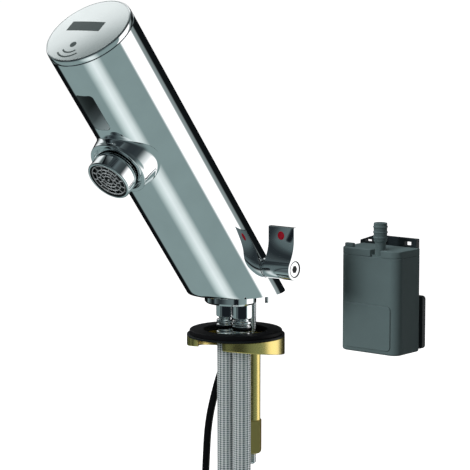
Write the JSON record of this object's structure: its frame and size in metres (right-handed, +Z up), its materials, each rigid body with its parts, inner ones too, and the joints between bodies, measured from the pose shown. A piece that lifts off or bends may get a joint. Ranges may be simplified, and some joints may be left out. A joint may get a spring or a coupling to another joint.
{
  "type": "electronic mixer tap",
  "caption": "Leaning chrome sensor mixer tap with side mixing lever, braided supply hoses, deck clamp set, signal cable and a battery box on its wall bracket.",
  "frame": {"origin": "middle of the tap's flat foot, on the deck it stands on", "axes": "+Z up, +X to the user's right (the lever side), -Y towards the user (the spout side)"},
  "size_m": [0.1206, 0.2134, 0.5706],
  "materials": {
    "chrome": "polished",
    "satin_chrome": "satin",
    "dark_print": "matt",
    "dark_window": "gloss",
    "black_rubber": "matt",
    "black_plastic": "matt",
    "brass": "machined",
    "dark_brass": "cast",
    "steel": "zinc plated",
    "braid": "braided steel wire",
    "cable_sheath": "smooth",
    "box_plastic": "fine grained",
    "valve_plastic": "moulded",
    "copper": "drawn",
    "board": "lacquer",
    "red_enamel": "enamel",
    "mesh_plastic": "moulded",
    "battery_skin": "shrink film"
  },
  "bodies": {
    "tap": {"body_shell": "chrome", "top_cap": "chrome", "cap_face": "satin_chrome", "cap_seal": "black_rubber", "sensor_symbol": "dark_print", "blank_plate": "dark_print", "sensor_window": "dark_window", "sensor_housing": "black_plastic", "sensor_eyes": "dark_window", "circuit_board": "board", "board_carrier": "black_plastic", "spout_collar": "chrome", "aerator_housing": "chrome", "aerator_insert": "mesh_plastic", "aerator_seal": "black_rubber", "spout_elbow": "valve_plastic", "outlet_pipe": "copper", "solenoid_block": "valve_plastic", "solenoid_coil": "black_plastic", "plunger_spring": "steel", "magnet_core": "steel", "riser_pipe": "copper", "mixing_valve": "valve_plastic", "lever_bush": "chrome", "foot_plate": "steel", "foot_gasket": "black_rubber", "anti_twist_pin": "steel", "fixing_stud": "steel", "inner_lead": "cable_sheath", "ferrule_hot": "chrome", "ferrule_cold": "chrome", "hose_hot": "braid", "hose_cold": "braid", "hose_tail_hot": "steel", "hose_tail_cold": "steel", "union_seals": "black_rubber", "cable_relief": "black_rubber", "signal_cable": "cable_sheath", "cable_plug": "black_plastic", "wall_bracket": "black_plastic"},
    "lever": {"mixing_lever": "chrome", "lever_screw": "chrome", "hot_marker": "red_enamel", "mixing_spindle": "steel"},
    "plunger": {"solenoid_plunger": "steel"},
    "clamp": {"rubber_washer": "black_rubber", "pressure_ring": "black_plastic", "clamp_bracket": "brass"},
    "nut": {"sleeve_nut": "dark_brass"},
    "union_hot": {"union_nut_hot": "chrome"},
    "union_cold": {"union_nut_cold": "chrome"},
    "case": {"battery_case": "box_plastic", "battery": "battery_skin", "battery_contacts": "brass", "latch_spring": "steel"},
    "latch": {"latch_panel": "box_plastic"},
    "lid": {"case_lid": "box_plastic", "lid_seal": "black_rubber", "conduit_spout": "box_plastic"}
  },
  "joints": [
    {"name": "lever_turn", "type": "hinge", "parent": "tap", "child": "lever", "pos_m": [0.03, -0.00181, 0.0173], "axis": [1, 0, 0], "range_deg": [-45, 45]},
    {"name": "plunger_slide", "type": "slide", "parent": "tap", "child": "plunger", "axis": [0, -0.6252, 0.7804], "range_m": [0, 0.002], "stiffness_N_per_m": 300, "springref_m": -0.002, "deforming": ["plunger_spring"]},
    {"name": "nut_turn", "type": "hinge", "parent": "clamp", "child": "nut", "pos_m": [0, 0.0133, -0.06], "axis": [0, 0, 1], "range_deg": [0, 3600]},
    {"name": "clamp_slide", "type": "slide", "parent": "tap", "child": "clamp", "axis": [0, 0, 1], "range_m": [0, 0.01]},
    {"name": "union_turn_hot", "type": "hinge", "parent": "tap", "child": "union_hot", "pos_m": [-0.014, -0.0027, -0.356], "axis": [0, 0, 1], "continuous": true},
    {"name": "union_turn_cold", "type": "hinge", "parent": "tap", "child": "union_cold", "pos_m": [0.014, -0.0027, -0.356], "axis": [0, 0, 1], "continuous": true},
    {"name": "case_lift", "type": "slide", "parent": "tap", "child": "case", "axis": [0, 0, 1], "range_m": [0, 0.03]},
    {"name": "latch_press", "type": "slide", "parent": "case", "child": "latch", "axis": [0, 1, 0], "range_m": [0, 0.0006], "stiffness_N_per_m": 400, "springref_m": -0.001, "deforming": ["latch_spring"]},
    {"name": "lid_lift", "type": "slide", "parent": "case", "child": "lid", "axis": [0, 0, 1], "range_m": [0, 0.03]}
  ],
  "couplings": [
    {"joint": "nut_turn", "follows": "clamp_slide", "rad_per_m": 6283.2}
  ]
}
